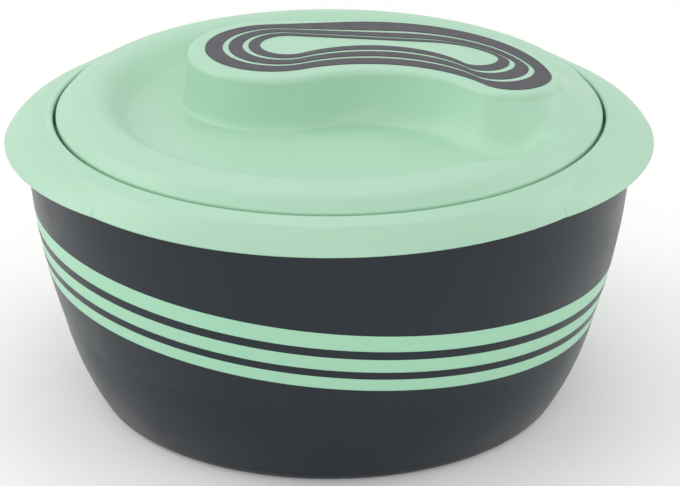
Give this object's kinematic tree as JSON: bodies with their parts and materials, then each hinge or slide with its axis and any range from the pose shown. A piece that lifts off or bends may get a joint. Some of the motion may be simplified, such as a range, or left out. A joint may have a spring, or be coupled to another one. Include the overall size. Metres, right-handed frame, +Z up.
{
  "type": "insulated casserole",
  "caption": "Round insulated serving casserole: foamed bowl with steel liner, tilted inlaid stripes, eared collar and an inset twist lid with a swirl handle.",
  "frame": {"origin": "centre of the foot ring on the surface the casserole stands on", "axes": "+Z up along the bowl's axis, +X towards the right ear, -Y towards the viewer of the picture"},
  "size_m": [0.296, 0.2816, 0.1603],
  "materials": {
    "dark_shell": "satin",
    "mint_stripe": "satin",
    "mint_moulding": "satin",
    "steel": "brushed",
    "foam": "matte",
    "silicone": "matte",
    "soft_grip": "satin",
    "liner_plastic": "satin"
  },
  "bodies": {
    "bowl": {"outer_shell": "dark_shell", "stripe_upper": "mint_stripe", "stripe_middle": "mint_stripe", "stripe_lower": "mint_stripe", "rim_collar": "mint_moulding", "steel_bowl": "steel", "body_foam": "foam", "base_fill_plug": "dark_shell"},
    "seal": {"lid_gasket": "silicone"},
    "lid": {"lid_cover": "mint_moulding", "grip_inlay_outer": "soft_grip", "grip_inlay_middle": "soft_grip", "grip_inlay_inner": "soft_grip", "lid_liner": "liner_plastic", "lid_foam": "foam", "lid_fill_plug": "liner_plastic"}
  },
  "joints": [
    {"name": "lid_lift", "type": "slide", "parent": "bowl", "child": "seal", "axis": [0, 0, 1], "range_m": [0, 0.12]},
    {"name": "lid_turn", "type": "hinge", "parent": "seal", "child": "lid", "pos_m": [0, 0, 0.13], "axis": [0, 0, 1], "range_deg": [-26, 0]}
  ]
}
